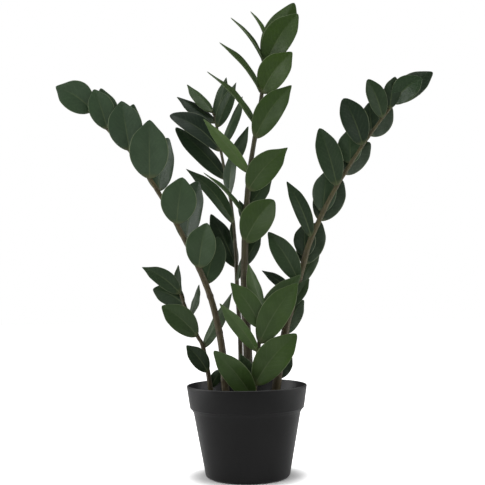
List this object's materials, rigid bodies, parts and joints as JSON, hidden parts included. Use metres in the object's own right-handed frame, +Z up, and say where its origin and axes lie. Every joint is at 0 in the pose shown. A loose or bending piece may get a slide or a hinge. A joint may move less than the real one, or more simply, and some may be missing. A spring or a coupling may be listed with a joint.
{
  "type": "potted zz plant",
  "caption": "Potted zz plant: arching stems of thick oval leaflets rising from growing mix in a plain tapered nursery pot with a banded rim.",
  "frame": {"origin": "middle of the pot's flat underside", "axes": "+Z up along the pot's axis, +X to the viewer's right, +Y away from the viewer; the two long side fronds arch along -X and +X"},
  "size_m": [0.3769, 0.119, 0.4733],
  "materials": {
    "pot_plastic": "satin",
    "growing_mix": "matte",
    "stem_skin": "satin",
    "leaflet_skin": "satin"
  },
  "bodies": {
    "root": {"pot": "pot_plastic", "soil": "growing_mix", "left_stem": "stem_skin", "left_leaflet_01": "leaflet_skin", "left_leaflet_02": "leaflet_skin", "left_leaflet_03": "leaflet_skin", "left_leaflet_04": "leaflet_skin", "left_leaflet_05": "leaflet_skin", "left_leaflet_06": "leaflet_skin", "left_leaflet_07": "leaflet_skin", "left_leaflet_08": "leaflet_skin", "left_leaflet_09": "leaflet_skin", "left_leaflet_10": "leaflet_skin", "back_stem": "stem_skin", "back_leaflet_01": "leaflet_skin", "back_leaflet_02": "leaflet_skin", "back_leaflet_03": "leaflet_skin", "back_leaflet_04": "leaflet_skin", "back_leaflet_05": "leaflet_skin", "back_leaflet_06": "leaflet_skin", "back_leaflet_07": "leaflet_skin", "centre_stem": "stem_skin", "centre_leaflet_01": "leaflet_skin", "centre_leaflet_02": "leaflet_skin", "centre_leaflet_03": "leaflet_skin", "centre_leaflet_04": "leaflet_skin", "centre_leaflet_05": "leaflet_skin", "centre_leaflet_06": "leaflet_skin", "centre_leaflet_07": "leaflet_skin", "centre_leaflet_08": "leaflet_skin", "centre_leaflet_09": "leaflet_skin", "centre_leaflet_10": "leaflet_skin", "right_stem": "stem_skin", "right_leaflet_01": "leaflet_skin", "right_leaflet_02": "leaflet_skin", "right_leaflet_03": "leaflet_skin", "right_leaflet_04": "leaflet_skin", "right_leaflet_05": "leaflet_skin", "right_leaflet_06": "leaflet_skin", "right_leaflet_07": "leaflet_skin", "right_leaflet_08": "leaflet_skin", "right_leaflet_09": "leaflet_skin", "right_leaflet_10": "leaflet_skin", "right_leaflet_11": "leaflet_skin", "right_leaflet_12": "leaflet_skin", "right_leaflet_13": "leaflet_skin", "right_leaflet_14": "leaflet_skin", "right_leaflet_15": "leaflet_skin", "lower_left_stem": "stem_skin", "lower_left_leaflet_01": "leaflet_skin", "lower_left_leaflet_02": "leaflet_skin", "lower_left_leaflet_03": "leaflet_skin", "lower_left_leaflet_04": "leaflet_skin", "lower_left_leaflet_05": "leaflet_skin", "front_stem": "stem_skin", "front_leaflet_01": "leaflet_skin", "front_leaflet_02": "leaflet_skin", "front_leaflet_03": "leaflet_skin", "front_leaflet_04": "leaflet_skin", "front_leaflet_05": "leaflet_skin"}
  },
  "joints": []
}
